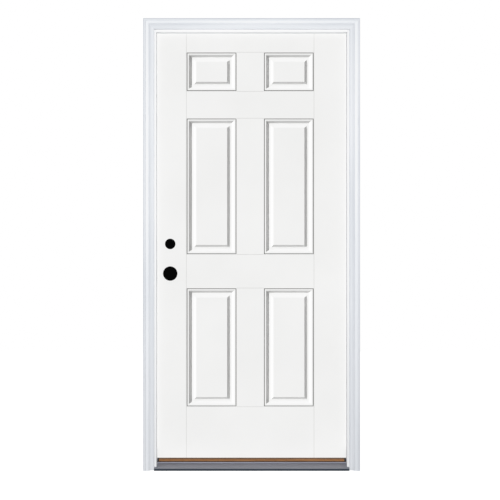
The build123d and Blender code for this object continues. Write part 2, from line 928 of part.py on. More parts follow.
with BuildPart() as corner_pad:
    with BuildSketch(Plane.XY.offset(sill_height + seal_clearance)):
        with BuildLine():
            Polyline(
                (bulb_inner_x, stop_depth),
                (bulb_outer_x, stop_depth),
                (bulb_outer_x, stop_depth + bulb_depth),
                (bulb_inner_x, stop_depth + bulb_depth),
                close=True,
            )
        make_face()
    extrude(amount=corner_pad_height)
    pad_edges = corner_pad.edges().filter_by(Axis.X).group_by(Axis.Y)[-1]
    chamfer(pad_edges, corner_pad_chamfer)
save(corner_pad, "corner_pad_hinge_side")

with BuildPart() as strike_corner_pad:
    mirror(corner_pad.part, about=Plane.YZ)
save(strike_corner_pad, "corner_pad_strike_side")


# Sill

deck_slope = (deck_rear_height - nose_height) / (riser_front_y + nose_reach)
deck_angle = degrees(atan(deck_slope))
nose_back_y = -nose_reach + deck_thickness
nose_back_z = nose_height + deck_slope * deck_thickness - deck_thickness
deck_under_z = deck_rear_height - deck_thickness

with BuildPart() as sill_outline:
    with BuildSketch():
        with Locations((0, 0)):
            Rectangle(
                2 * (mould_inner_x - sill_end_gap), nose_reach, align=(Align.CENTER, Align.MAX)
            )
            Rectangle(2 * stop_x, stop_depth, align=(Align.CENTER, Align.MIN))
        with Locations((0, stop_depth)):
            Rectangle(2 * rabbet_x, jamb_depth - stop_depth, align=(Align.CENTER, Align.MIN))
    extrude(amount=sill_height)

with BuildPart() as sill_deck:
    with BuildSketch(Plane.YZ) as deck_section:
        with BuildLine():
            Polyline(
                (-nose_reach, 0),
                (-nose_reach, nose_height),
                (riser_front_y, deck_rear_height),
                (riser_front_y, riser_top_z),
                (riser_back_y, riser_top_z),
                (riser_back_y, deck_leg_z),
                (riser_front_y, deck_leg_z),
                (riser_front_y, deck_under_z),
                (nose_back_y, nose_back_z),
                (nose_back_y, 0),
                close=True,
            )
        make_face()
        fillet(deck_section.vertices().group_by(Axis.X)[0].sort_by(Axis.Y)[-1], nose_radius)
        for share in deck_groove_shares:
            groove_y = -nose_reach + share * (riser_front_y + nose_reach)
            with Locations((groove_y, nose_height + deck_slope * (groove_y + nose_reach))):
                Rectangle(
                    deck_groove_width, 2 * deck_groove_depth, rotation=deck_angle, mode=Mode.SUBTRACT
                )
    extrude(amount=mould_inner_x, both=True)
    add(sill_outline.part, mode=Mode.INTERSECT)
save(sill_deck, "sill_deck")

with BuildPart() as riser_seal:
    with BuildSketch(Plane.YZ) as seal_section:
        with Locations((riser_back_y, riser_top_z)):
            Rectangle(deck_thickness, riser_seal_height, align=(Align.MAX, Align.MIN))
        fillet(seal_section.vertices().group_by(Axis.Y)[-1], riser_seal_radius)
    extrude(amount=stop_x - seal_clearance, both=True)
save(riser_seal, "riser_seal")

with BuildPart() as sill_substrate:
    with BuildSketch(Plane.YZ):
        with BuildLine():
            Polyline(
                (nose_back_y, 0),
                (jamb_depth, 0),
                (jamb_depth, substrate_top_z),
                (riser_back_y + slot_clearance, substrate_top_z),
                (riser_back_y + slot_clearance, deck_leg_z - slot_clearance),
                (riser_front_y - slot_clearance, deck_leg_z - slot_clearance),
                (riser_front_y - slot_clearance, deck_under_z - deck_slope * slot_clearance),
                (nose_back_y, nose_back_z),
                close=True,
            )
        make_face()
    extrude(amount=mould_inner_x + rabbet_depth, both=True)
    add(sill_outline.part, mode=Mode.INTERSECT)
    with Locations(*[(x, cap_screw_y, substrate_top_z) for x in cap_screw_xs]):
        CounterBoreHole(
            cap_screw_radius + cap_screw_clearance,
            cap_screw_flange_radius + cap_pocket_clearance,
            substrate_top_z - cap_pocket_floor,
            depth=substrate_top_z - cap_thread_end,
        )
    for side in (-1, 1):
        for y in frame_screw_ys:
            with Locations(facing_x(side * jamb_x, y, sill_screw_height, side)):
                Hole(frame_screw_radius + screw_fit, depth=frame_screw_length + overrun)
save(sill_substrate, "sill_substrate")


# Adjustable sill cap


def cap_section(plane):
    """The oak cap's section, rounded along its upper edges and chamfered over the riser."""
    with BuildSketch(plane) as section:
        with BuildLine():
            Polyline(
                (cap_front_y, cap_bottom_z),
                (jamb_depth, cap_bottom_z),
                (jamb_depth, sill_height),
                (cap_front_y, sill_height),
                close=True,
            )
        make_face()
        fillet(section.vertices().sort_by(Axis.Y)[-2:].sort_by(Axis.X)[0], cap_front_radius)
        fillet(section.vertices().group_by(Axis.X)[-1].sort_by(Axis.Y)[-1], cap_rear_radius)
        chamfer(section.vertices().group_by(Axis.X)[0].sort_by(Axis.Y)[0], cap_front_chamfer)
    return section.sketch


with BuildPart() as sill_cap:
    extrude(cap_section(Plane.YZ), amount=cap_half, both=True)
    with Locations(*[(x, cap_screw_y, sill_height) for x in cap_screw_xs]):
        Hole(cap_screw_head_radius + cap_screw_clearance, depth=cap_thickness)
save(sill_cap, "sill_cap")

with BuildPart() as cap_end_pad:
    extrude(
        cap_section(Plane.YZ.offset(cap_half)),
        amount=rabbet_x - seal_clearance - cap_half,
        dir=(1, 0, 0),
    )
    with BuildSketch():
        with Locations((stop_x - seal_clearance, 0)):
            Rectangle(
                rabbet_depth + seal_clearance,
                stop_depth + seal_clearance,
                align=(Align.MIN, Align.MIN),
            )
    extrude(amount=sill_height, mode=Mode.SUBTRACT)
save(cap_end_pad, "cap_end_pad_hinge_side")

with BuildPart() as strike_end_pad:
    mirror(cap_end_pad.part, about=Plane.YZ)
save(strike_end_pad, "cap_end_pad_strike_side")

cap_screw_flange_z = cap_bottom_z - cap_screw_flange_thickness
cap_screw_top_z = sill_height - cap_screw_head_sink

for i, x in enumerate(cap_screw_xs, start=1):
    with BuildPart() as cap_screw:
        with BuildSketch(Plane.XZ.offset(-cap_screw_y)):
            with BuildLine():
                Polyline(
                    (x, cap_screw_tip_height),
                    (x + cap_screw_radius, cap_screw_tip_height),
                    (x + cap_screw_radius, cap_screw_flange_z),
                    (x + cap_screw_flange_radius, cap_screw_flange_z),
                    (x + cap_screw_flange_radius, cap_bottom_z),
                    (x + cap_screw_head_radius, cap_bottom_z),
                    (x + cap_screw_head_radius, cap_screw_top_z),
                    (x, cap_screw_top_z),
                    close=True,
                )
            make_face()
        revolve(axis=Axis((x, cap_screw_y, 0), (0, 0, 1)))
        with BuildSketch(Plane.XY.offset(cap_screw_top_z)):
            with Locations((x, cap_screw_y)):
                Rectangle(2 * cap_screw_head_radius, cap_screw_slot_width)
        extrude(amount=-cap_screw_slot_depth, mode=Mode.SUBTRACT)
    save(cap_screw, f"cap_adjusting_screw_{i}")
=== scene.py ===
import math

import bmesh
import bpy
from mathutils import Matrix, Vector


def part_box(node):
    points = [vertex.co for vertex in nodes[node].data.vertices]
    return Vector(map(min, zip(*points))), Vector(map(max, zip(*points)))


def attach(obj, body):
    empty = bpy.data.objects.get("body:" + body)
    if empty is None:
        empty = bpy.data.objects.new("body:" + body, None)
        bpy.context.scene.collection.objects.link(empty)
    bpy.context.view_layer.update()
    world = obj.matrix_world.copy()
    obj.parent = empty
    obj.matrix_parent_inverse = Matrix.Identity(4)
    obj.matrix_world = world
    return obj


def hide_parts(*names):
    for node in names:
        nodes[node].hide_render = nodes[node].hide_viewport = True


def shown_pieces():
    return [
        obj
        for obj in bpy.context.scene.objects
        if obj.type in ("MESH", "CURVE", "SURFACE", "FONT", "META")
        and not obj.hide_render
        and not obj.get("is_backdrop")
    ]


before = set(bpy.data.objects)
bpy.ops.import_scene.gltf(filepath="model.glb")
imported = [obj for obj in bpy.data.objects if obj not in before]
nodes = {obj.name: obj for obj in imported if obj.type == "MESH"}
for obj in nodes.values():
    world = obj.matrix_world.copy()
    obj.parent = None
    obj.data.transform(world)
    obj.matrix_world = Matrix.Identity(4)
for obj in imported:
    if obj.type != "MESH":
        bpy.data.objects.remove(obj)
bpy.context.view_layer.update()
scene = bpy.context.scene

# Lengths are in metres. +X points to the hinges as seen from outdoors, +Y indoors and +Z up.
FACE_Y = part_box("brickmould_head")[0].y
NOSE_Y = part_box("sill_deck")[0].y

# Moulded panels: middles across, width, and middle height with height for each row
PANEL_MIDDLES = (-0.18905, 0.17535)
PANEL_WIDTH = 0.2343
PANEL_ROWS = ((0.5663, 0.5566), (1.3257, 0.6396), (1.86605, 0.1815))
QUIRK_WIDTH = 0.0034

# Joint lines of the stiles and rails, a little outside the panels
MULLION_MIDDLE = (PANEL_MIDDLES[0] + PANEL_MIDDLES[1]) / 2
JOINT_OFFSET = 0.0016
JOINT_HALF = 0.0006
STILE_LINE = PANEL_MIDDLES[1] - MULLION_MIDDLE + PANEL_WIDTH / 2 + JOINT_OFFSET
MULLION_HALF = PANEL_MIDDLES[1] - MULLION_MIDDLE - PANEL_WIDTH / 2 - JOINT_OFFSET

# Painted shade in the quirks and joint lines
PAINTED_SHADE_FADE = 0.0003
PAINTED_SHADE_SHARE = 0.55
PAINTED_SHADE_CLOUD_SHARE = 0.3
JOINT_PAINTED_SHADE_SHARE = 0.45
PAINTED_SHADE_ROUGHNESS = 0.3

# Sill nose: where its painted shade starts and ends behind the front edge
NOSE_SHADE_FADE = (0.0003, 0.0026)

# Middle range of a noise, and the waves per metre of a sprayed coat's peel
NOISE_LOW = 0.3
NOISE_HIGH = 0.7
PEEL_SCALE = 420.0

# Camera, floor and light
CAMERA_X = -0.0079
CAMERA_Z = 1.0257
CAMERA_DISTANCE = 6.0
FRAME_WIDTH = 2.3185
SENSOR_WIDTH = 36.0
FLOOR_SIZE = 14.0
FLOOR_TONE = 0.93
AMBIENT = 0.24
GROUND_AMBIENT = 0.09
HORIZON_FADE = 0.3
MIRRORED_GAIN = 3.0
LIGHT_SPREAD = 10
LAMP_RADIUS = 0.6
WHITE_LEVEL = 1.35
SHOULDER = ((0.80, 0.80), (0.94, 0.91), (1.14, 0.97))


# Shader maths


class Value:
    """A shader socket that holds a number, so that maths on it is written as an expression."""

    def __init__(self, finish, socket):
        self.finish = finish
        self.socket = socket

    def maths(self, operation, first, second):
        return self.finish.node("ShaderNodeMath", {"operation": operation}, {0: first, 1: second})

    def __add__(self, other):
        return self.maths("ADD", self, other)

    def __radd__(self, other):
        return self.maths("ADD", other, self)

    def __sub__(self, other):
        return self.maths("SUBTRACT", self, other)

    def __rsub__(self, other):
        return self.maths("SUBTRACT", other, self)

    def __mul__(self, other):
        return self.maths("MULTIPLY", self, other)

    def __rmul__(self, other):
        return self.maths("MULTIPLY", other, self)

    def __abs__(self):
        return self.maths("ABSOLUTE", self, 0.0)

    def least(self, other):
        return self.maths("MINIMUM", self, other)

    def most(self, other):
        return self.maths("MAXIMUM", self, other)


class Nodes:
    """A node tree that nodes are added to."""

    def __init__(self, tree):
        self.tree = tree

    def node(self, kind, settings, sockets, output=0):
        """Add a node: its settings first, then the values or links of its sockets."""
        made = self.tree.nodes.new(kind)
        for name, value in settings.items():
            if name == "stops":
                set_stops(made.color_ramp, value)
            else:
                setattr(made, name, value)
        for key, value in sockets.items():
            self.plug(value, made.inputs[key])
        return Value(self, made.outputs[output])

    def plug(self, value, socket):
        """Link a value to a socket, or set the socket to a number or colour."""
        if isinstance(value, Value):
            self.tree.links.new(value.socket, socket)
        else:
            socket.default_value = value

    def spread(self, value, low, high, new_low, new_high):
        """Map a value from one range to another, held at the ends."""
        sockets = {1: low, 2: high, 3: new_low, 4: new_high, 0: value}
        return self.node("ShaderNodeMapRange", {"clamp": True}, sockets)


class Finish(Nodes):
    """A material with one Principled shader, whose fixed sockets are given by name."""

    def __init__(self, name, **fixed):
        self.material = bpy.data.materials.new(name)
        self.material.use_nodes = True
        super().__init__(self.material.node_tree)
        self.shader = self.tree.nodes["Principled BSDF"]
        for socket, value in fixed.items():
            self.shader.inputs[socket.replace("_", " ")].default_value = value

    def feed(self, socket, value):
        """Let a value that changes over the surface drive a socket of the shader."""
        self.plug(value, self.shader.inputs[socket])

    def place(self, stretch=(1, 1, 1)):
        """Places on the object in metres, stretched along its axes."""
        place = self.node("ShaderNodeTexCoord", {}, {}, "Object")
        return self.node("ShaderNodeVectorMath", {"operation": "MULTIPLY"}, {0: place, 1: stretch})

    def noise(self, place, scale, detail=2.0, roughness=0.5, distortion=0.0):
        """Smooth noise from 0 to 1, with a number of waves per metre."""
        sockets = {
            "Vector": place,
            "Scale": scale,
            "Detail": detail,
            "Roughness": roughness,
            "Distortion": distortion,
        }
        return self.node("ShaderNodeTexNoise", {}, sockets, "Fac")

    def ramp(self, value, stops):
        """A colour for each value, through stops of (place, colour)."""
        return self.node("ShaderNodeValToRGB", {"stops": stops}, {0: value})

    def tones(self, value, dark, light):
        """A colour from dark to light over the middle range of a noise."""
        return self.ramp(value, [(NOISE_LOW, dark), (NOISE_HIGH, light)])

    def uneven(self, value, middle, swing):
        """A number that swings about its middle over the middle range of a noise."""
        return self.spread(value, NOISE_LOW, NOISE_HIGH, middle - swing, middle + swing)

    def blend(self, share, first, second):
        """Mix two colours by a share from 0 to 1."""
        settings = {"data_type": "RGBA", "blend_type": "MIX"}
        return self.node("ShaderNodeMix", settings, {0: share, 6: first, 7: second}, 2)

    def relief(self, height, depth):
        """Give the surface a fine relief, with its full depth in metres."""
        bump = self.node("ShaderNodeBump", {}, {"Height": height, "Distance": depth, "Strength": 1.0})
        self.feed("Normal", bump)


def set_stops(ramp, stops):
    """Give a colour ramp its stops of (place, colour)."""
    while len(ramp.elements) < len(stops):
        ramp.elements.new(1.0)
    for element, (place, colour) in zip(ramp.elements, stops):
        element.position = place
        element.color = colour


def rgb(red, green, blue):
    """A colour from screen values of 0 to 255."""
    parts = [c / 255 for c in (red, green, blue)]
    linear = [c / 12.92 if c <= 0.04045 else ((c + 0.055) / 1.055) ** 2.4 for c in parts]
    return (*linear, 1.0)


# Finishes


def white_paint(name, dark, light, streaks, roughness, peel):
    """Satin paint with a faint cloudiness and the fine peel of a sprayed coat."""
    finish = Finish(name)
    cloud = finish.noise(finish.place(streaks), 3.0, 3.0)
    finish.feed("Base Color", finish.tones(cloud, dark, light))
    grain = finish.noise(finish.place(), PEEL_SCALE, 2.0)
    finish.feed("Roughness", finish.uneven(grain, roughness, 0.05))
    finish.relief(grain, peel)
    return finish.material


def door_skin(name):
    """Satin gelcoat with painted shade in the quirk round each panel and in the stile and rail joints.
    """
    finish = Finish(name)
    cloud = finish.noise(finish.place(), 3.0, 3.0)
    paint = finish.tones(cloud, rgb(238, 238, 237), rgb(243, 243, 242))
    x = finish.node("ShaderNodeSeparateXYZ", {}, {0: finish.place()}, "X")
    z = finish.node("ShaderNodeSeparateXYZ", {}, {0: finish.place()}, "Z")
    left, right = PANEL_MIDDLES
    across = abs(x - left).least(abs(x - right)) - PANEL_WIDTH / 2
    low, middle, top = [abs(z - centre) - height / 2 for centre, height in PANEL_ROWS]
    along = low.least(middle).least(top)
    edge = across.most(along)
    inner = finish.spread(edge, -QUIRK_WIDTH - PAINTED_SHADE_FADE, -QUIRK_WIDTH, 0.0, 1.0)
    outer = finish.spread(edge, -PAINTED_SHADE_FADE, 0.0, 1.0, 0.0)
    from_mullion = abs(x - MULLION_MIDDLE)
    stile_line = finish.spread(abs(from_mullion - STILE_LINE), JOINT_HALF, JOINT_HALF * 2, 1.0, 0.0)
    rail_line = finish.spread(abs(along - JOINT_OFFSET), JOINT_HALF, JOINT_HALF * 2, 1.0, 0.0)
    mullion = finish.spread(from_mullion, MULLION_HALF, MULLION_HALF + PAINTED_SHADE_FADE, 1.0, 0.0)
    joints = stile_line.most(rail_line * mullion)
    # Painted shade: the quirks and joint lines get a darker grey that stands in for the shade inside
    # these grooves
    painted_shade = (inner * outer).most(joints * JOINT_PAINTED_SHADE_SHARE) * (PAINTED_SHADE_SHARE + cloud * PAINTED_SHADE_CLOUD_SHARE)
    finish.feed("Base Color", finish.blend(painted_shade, paint, rgb(96, 95, 92)))
    grain = finish.noise(finish.place(), PEEL_SCALE, 2.0)
    finish.feed("Roughness", finish.uneven(grain, 0.42, 0.05) + painted_shade * PAINTED_SHADE_ROUGHNESS)
    finish.relief(grain, 0.00006)
    return finish.material


def oak(name):
    """Stained oak with long grain, dark pores and a worn satin varnish."""
    finish = Finish(name, Coat_Roughness=0.3, Specular_IOR_Level=0.08)
    figure = finish.noise(finish.place((1.2, 14.0, 14.0)), 4.0, 4.0, 0.55, 0.6)
    rings = finish.noise(finish.place((2.0, 90.0, 90.0)), 3.0, 3.0, 0.6)
    pores = finish.noise(finish.place((30.0, 900.0, 900.0)), 1.0, 2.0)
    shade = figure * 0.55 + rings * 0.45
    stops = [(0.3, rgb(111, 74, 44)), (0.5, rgb(147, 102, 63)), (0.7, rgb(172, 124, 80))]
    colour = finish.ramp(shade, stops)
    pore = finish.spread(pores, 0.6, 0.72, 0.0, 1.0)
    finish.feed("Base Color", finish.blend(pore * 0.6, colour, rgb(58, 35, 20)))
    finish.feed("Roughness", 0.42 + pore * 0.25)
    finish.feed("Coat Weight", 0.05 - pore * 0.05)
    finish.relief(shade - pore, 0.00025)
    return finish.material


def stile_wood(name):
    """Engineered lumber: pale pine with long grain and thin darker glue lines."""
    finish = Finish(name)
    figure = finish.noise(finish.place((9.0, 9.0, 0.5)), 4.0, 4.0, 0.6, 0.4)
    fibre = finish.noise(finish.place((420.0, 420.0, 5.0)), 1.0, 3.0)
    shade = figure * 0.6 + fibre * 0.4
    stops = [(0.3, rgb(196, 160, 112)), (0.5, rgb(216, 184, 138)), (0.7, rgb(228, 200, 158))]
    layers = finish.node(
        "ShaderNodeTexWave",
        {"wave_type": "BANDS", "bands_direction": "Y", "wave_profile": "SIN"},
        {"Vector": finish.place(), "Scale": 50.0, "Distortion": 0.6, "Detail": 2.0},
        "Fac",
    )
    glue = finish.spread(layers, 0.93, 1.0, 0.0, 0.5)
    finish.feed("Base Color", finish.blend(glue, finish.ramp(shade, stops), rgb(142, 104, 66)))
    finish.feed("Roughness", finish.uneven(fibre, 0.675, 0.075))
    finish.relief(fibre, 0.00015)
    return finish.material


def sill_metal(name):
    """Extruded mill aluminium with lines along its length, and painted shade that darkens its front
    edge.
    """
    finish = Finish(name, Metallic=1.0)
    lines = finish.noise(finish.place((3.0, 700.0, 700.0)), 1.0, 3.0, 0.6)
    patch = finish.noise(finish.place((2.0, 12.0, 12.0)), 3.0, 3.0)
    shade = lines * 0.85 + patch * 0.15
    depth = finish.node("ShaderNodeSeparateXYZ", {}, {0: finish.place()}, "Y")
    fade_start, fade_end = NOSE_SHADE_FADE
    # Painted shade: the front edge gets a darker copy of the aluminium's colour, for the shade on its
    # front face
    nose = finish.spread(depth, NOSE_Y + fade_start, NOSE_Y + fade_end, 1.0, 0.0)
    deck_colour = finish.tones(shade, rgb(127, 129, 137), rgb(144, 146, 155))
    nose_shade_colour = finish.tones(shade, rgb(44, 50, 58), rgb(57, 65, 74))
    finish.feed("Base Color", finish.blend(nose, deck_colour, nose_shade_colour))
    finish.feed("Roughness", finish.uneven(lines, 0.44, 0.08))
    finish.relief(lines, 0.00004)
    return finish.material


def drawn_metal(name, dark, light, roughness, along):
    """Metal with the fine lines that drawing or brushing leaves along one direction."""
    finish = Finish(name, Metallic=1.0)
    lines = finish.noise(finish.place(along), 1.0, 3.0, 0.6)
    patch = finish.noise(finish.place(), 12.0, 2.0)
    finish.feed("Base Color", finish.tones(lines * 0.7 + patch * 0.3, dark, light))
    finish.feed("Roughness", finish.uneven(lines, roughness, 0.08))
    finish.relief(lines, 0.00004)
    return finish.material


def grained_plastic(name, dark, light, roughness, scale, depth, shine=0.5):
    """Moulded plastic or foam with an even grain."""
    finish = Finish(name, Specular_IOR_Level=shine)
    grain = finish.noise(finish.place(), scale, 3.0, 0.6)
    finish.feed("Base Color", finish.tones(grain, dark, light))
    finish.feed("Roughness", finish.uneven(grain, roughness, 0.07))
    finish.relief(grain, depth)
    return finish.material


LENGTHWISE_Z = (8.0, 8.0, 0.6)
LENGTHWISE_X = (0.6, 8.0, 8.0)
JAMB_WHITES = (rgb(241, 243, 245), rgb(248, 249, 251))
MOULD_WHITES = (rgb(225, 229, 235), rgb(238, 241, 246))

# Paints: name, dark and light tone, streaks, roughness, depth of the peel
SKIN = door_skin("door_skin")
JAMB = white_paint("jamb_primer", *JAMB_WHITES, LENGTHWISE_Z, 0.5, 0.00008)
HEAD = white_paint("head_primer", *JAMB_WHITES, LENGTHWISE_X, 0.5, 0.00008)
MOULD = white_paint("mould_primer", *MOULD_WHITES, LENGTHWISE_Z, 0.45, 0.0001)
HEAD_MOULD = white_paint("head_mould_primer", *MOULD_WHITES, LENGTHWISE_X, 0.45, 0.0001)

# Woods, and metals: name, dark and light tone, roughness, lines per metre on each axis
STILE = stile_wood("stile_wood")
OAK = oak("oak_stain")
ALUMINIUM = sill_metal("mill_aluminium")
NICKEL = drawn_metal("satin_nickel", rgb(182, 178, 168), rgb(206, 202, 192), 0.3, (500.0, 500.0, 6.0))
ZINC = drawn_metal("zinc_steel", rgb(168, 168, 166), rgb(196, 196, 194), 0.35, (300.0, 300.0, 300.0))

# Plastics and foams: name, dark and light tone, roughness, grains per metre, their depth, shine
BLACK = grained_plastic("black_plastic", rgb(1, 1, 1), rgb(5, 5, 5), 0.6, 900.0, 0.00005, 0.015)
SEAL = grained_plastic("seal_skin", rgb(234, 234, 231), rgb(244, 244, 241), 0.6, 700.0, 0.0001)
FOAM = grained_plastic("pad_foam", rgb(30, 29, 28), rgb(52, 50, 48), 0.9, 600.0, 0.0006)
VINYL = grained_plastic("sweep_vinyl", rgb(48, 46, 45), rgb(62, 60, 58), 0.55, 500.0, 0.00008)
BROWN_VINYL = grained_plastic("riser_vinyl", rgb(46, 29, 14), rgb(62, 41, 21), 0.7, 500.0, 0.00008, 0.03)
COMPOSITE = grained_plastic("sill_composite", rgb(58, 58, 60), rgb(84, 84, 86), 0.75, 300.0, 0.0003)
CORE = grained_plastic("core_foam", rgb(226, 206, 160), rgb(242, 226, 186), 0.95, 200.0, 0.0006)


def dress(names, material):
    """Give CAD pieces one finish."""
    for name in names:
        node = nodes[name]
        node.data.materials.clear()
        node.data.materials.append(material)


HINGES = ("top", "middle", "bottom")
dress(["exterior_skin", "interior_skin"], SKIN)
dress(["lock_stile", "hinge_stile", "lock_block", "top_rail", "bottom_rail"], STILE)
dress(["foam_core"], CORE)
SIDE_JAMBS = ("hinge_jamb", "strike_jamb")
SIDE_MOULDS = ("brickmould_left", "brickmould_right")
FRAME_WHITES = SIDE_JAMBS + SIDE_MOULDS + ("head_jamb", "brickmould_head")
dress(SIDE_JAMBS, JAMB)
dress(["head_jamb"], HEAD)
dress(SIDE_MOULDS, MOULD)
dress(["brickmould_head"], HEAD_MOULD)
dress(["sill_cap"], OAK)
dress(["sill_deck"], ALUMINIUM)
dress(["sill_substrate"], COMPOSITE)
SEALS = ("weatherstrip_hinge_side", "weatherstrip_strike_side", "weatherstrip_head")
dress(SEALS, SEAL)
dress(["corner_pad_hinge_side", "corner_pad_strike_side"], FOAM)
dress(["cap_end_pad_hinge_side", "cap_end_pad_strike_side"], FOAM)
dress(["door_sweep"], VINYL)
dress(["riser_seal"], BROWN_VINYL)
dress(["lock_bore_plug", "deadbolt_bore_plug"], BLACK)
dress([f"{h}_hinge_{part}" for h in HINGES for part in ("jamb_leaf", "door_leaf", "pin")], NICKEL)
dress(["jamb_hinge_screws", "door_hinge_screws"], NICKEL)
dress(["sill_screws", "head_screws"] + [f"cap_adjusting_screw_{i}" for i in range(1, 5)], ZINC)


# Screws, cut with a cross recess and a rolled thread

THREAD_PITCH = 0.0022
THREAD_HEIGHT = 0.00055
THREAD_SIDES = 18
SHANK_SHARE = 0.53
SCREW_SPIN = 0.7
THREAD_STEPS = 6
TIP_SHARE = 0.15
HEAD_LAND = 0.00015
RECESS_REACH_SHARE = 0.62
RECESS_WIDTH_SHARE = 0.26
RECESS_DEPTH_SHARE = 0.55
RECESS_TAPER_SHARE = 0.45
SHARP_ANGLE = math.radians(32)
WELD_DISTANCE = 1e-6
PLACE_DIGITS = 5


def loose_bodies(node):
    """Lowest and highest corners of each separate body in a node."""
    mesh = bmesh.new()
    mesh.from_mesh(nodes[node].data)
    bmesh.ops.remove_doubles(mesh, verts=mesh.verts, dist=WELD_DISTANCE)
    left = set(mesh.verts)
    boxes = []
    while left:
        front = [left.pop()]
        found = list(front)
        while front:
            near = {edge.other_vert(v) for v in front for edge in v.link_edges} & left
            left -= near
            found += near
            front = list(near)
        corners = [[f([v.co[axis] for v in found]) for axis in range(3)] for f in (min, max)]
        boxes.append([Vector(corner) for corner in corners])
    mesh.free()
    return sorted(boxes, key=row_by_row)


def row_by_row(box):
    """Order of a body by height, then depth, then place across."""
    low = box[0]
    return round(low.z, PLACE_DIGITS), round(low.y, PLACE_DIGITS), low.x


def screw_body(head_radius, length):
    """A countersunk wood screw with its head in the plane z = 0 and its tip along -Z."""
    mesh = bmesh.new()
    shank_radius = head_radius * SHANK_SHARE
    core_radius = shank_radius - THREAD_HEIGHT
    neck = -HEAD_LAND - (head_radius - shank_radius)
    tip_start = -length * (1 - TIP_SHARE)
    heights = [0.0, -HEAD_LAND, neck]
    step = THREAD_PITCH / THREAD_STEPS
    count = int((neck + length) / step)
    heights += [neck - step * i for i in range(1, count)]
    rings = []
    for z in heights:
        ring = []
        for side in range(THREAD_SIDES):
            turn = side / THREAD_SIDES
            ridge = 1 - abs(((z / THREAD_PITCH - turn) % 1.0) * 2 - 1)
            radius = core_radius + THREAD_HEIGHT * ridge
            if z >= neck:
                radius = min(head_radius, head_radius + z + HEAD_LAND)
            if z < tip_start:
                radius *= (z + length) / (tip_start + length)
            angle = 2 * math.pi * turn
            ring.append(mesh.verts.new((radius * math.cos(angle), radius * math.sin(angle), z)))
        rings.append(ring)
    for upper, lower in zip(rings, rings[1:]):
        for i in range(THREAD_SIDES):
            j = (i + 1) % THREAD_SIDES
            mesh.faces.new((upper[i], lower[i], lower[j], upper[j]))
    mesh.faces.new(rings[0])
    point = mesh.verts.new((0, 0, -length))
    for i in range(THREAD_SIDES):
        mesh.faces.new((rings[-1][i], point, rings[-1][(i + 1) % THREAD_SIDES]))
    return as_object("screw_body", mesh)


def recess_arm(head_radius, direction):
    """One tapered bar of a cross recess, along X or Y."""
    mesh = bmesh.new()
    depth = head_radius * RECESS_DEPTH_SHARE
    levels = []
    for z, share in ((depth, 1.0), (0.0, 1.0), (-depth, RECESS_TAPER_SHARE)):
        reach = head_radius * RECESS_REACH_SHARE * share
        width = head_radius * RECESS_WIDTH_SHARE * share / 2
        corners = ((-reach, -width), (reach, -width), (reach, width), (-reach, width))
        placed = [(x, y, z) if direction == "X" else (-y, x, z) for x, y in corners]
        levels.append([mesh.verts.new(place) for place in placed])
    for low, high in zip(levels[1:], levels):
        for i in range(4):
            mesh.faces.new((low[i], low[(i + 1) % 4], high[(i + 1) % 4], high[i]))
    mesh.faces.new(levels[0])
    mesh.faces.new(list(reversed(levels[-1])))
    return as_object("recess_arm", mesh)


def as_object(name, mesh):
    """Turn a bmesh into an object of the scene."""
    bmesh.ops.recalc_face_normals(mesh, faces=mesh.faces)
    data = bpy.data.meshes.new(name)
    mesh.to_mesh(data)
    mesh.free()
    made = bpy.data.objects.new(name, data)
    scene.collection.objects.link(made)
    return made


def cut_screw(head_radius, length):
    """The mesh of one screw with its cross recess cut."""
    body = screw_body(head_radius, length)
    arms = [recess_arm(head_radius, direction) for direction in "XY"]
    for arm in arms:
        cut = body.modifiers.new("recess", "BOOLEAN")
        cut.operation = "DIFFERENCE"
        cut.solver = "EXACT"
        cut.object = arm
    depsgraph = bpy.context.evaluated_depsgraph_get()
    mesh = bpy.data.meshes.new_from_object(body.evaluated_get(depsgraph))
    for helper in [body] + arms:
        bpy.data.objects.remove(helper)
    return mesh


def screws(name, node, body, material, facing):
    """Screws in the places of a node's plain ones, each turned a little differently.

    Their heads face along +X or -X, or outwards from the middle of the frame.
    """
    boxes = loose_bodies(node)
    size = boxes[0][1] - boxes[0][0]
    pattern = cut_screw(size.y / 2, size.x)
    joined = bmesh.new()
    for i, (low, high) in enumerate(boxes):
        heading = facing or math.copysign(1, low.x)
        head_x = high.x if heading > 0 else low.x
        place = Matrix.Translation((head_x, (low.y + high.y) / 2, (low.z + high.z) / 2))
        turn = Vector((heading, 0, 0)).to_track_quat("Z", "Y").to_matrix().to_4x4()
        spin = Matrix.Rotation(i * SCREW_SPIN, 4, "Z")
        copy = pattern.copy()
        copy.transform(place @ turn @ spin)
        joined.from_mesh(copy)
        bpy.data.meshes.remove(copy)
    made = as_object(name, joined)
    made.data.polygons.foreach_set("use_smooth", [True] * len(made.data.polygons))
    made.data.set_sharp_from_angle(angle=SHARP_ANGLE)
    made.data.materials.append(material)
    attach(made, body)
    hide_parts(node)


screws("jamb_leaf_screws", "jamb_hinge_screws", "frame", NICKEL, -1)
screws("door_leaf_screws", "door_hinge_screws", "door", NICKEL, 1)
screws("sill_end_screws", "sill_screws", "frame", ZINC, 0)
screws("head_end_screws", "head_screws", "frame", ZINC, 0)


# Floor, light and camera


def floor():
    """A pale floor that fades into the white surroundings."""
    bpy.ops.mesh.primitive_plane_add(size=FLOOR_SIZE, location=(0, 0, 0))
    plane = bpy.context.object
    plane.name = "floor"
    plane.visible_diffuse = False
    plane.visible_glossy = False
    finish = Finish("pale_floor", Roughness=0.9)
    finish.shader.inputs["Base Color"].default_value = (FLOOR_TONE, FLOOR_TONE, FLOOR_TONE, 1.0)
    plane.data.materials.append(finish.material)
    plane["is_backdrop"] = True
    return plane


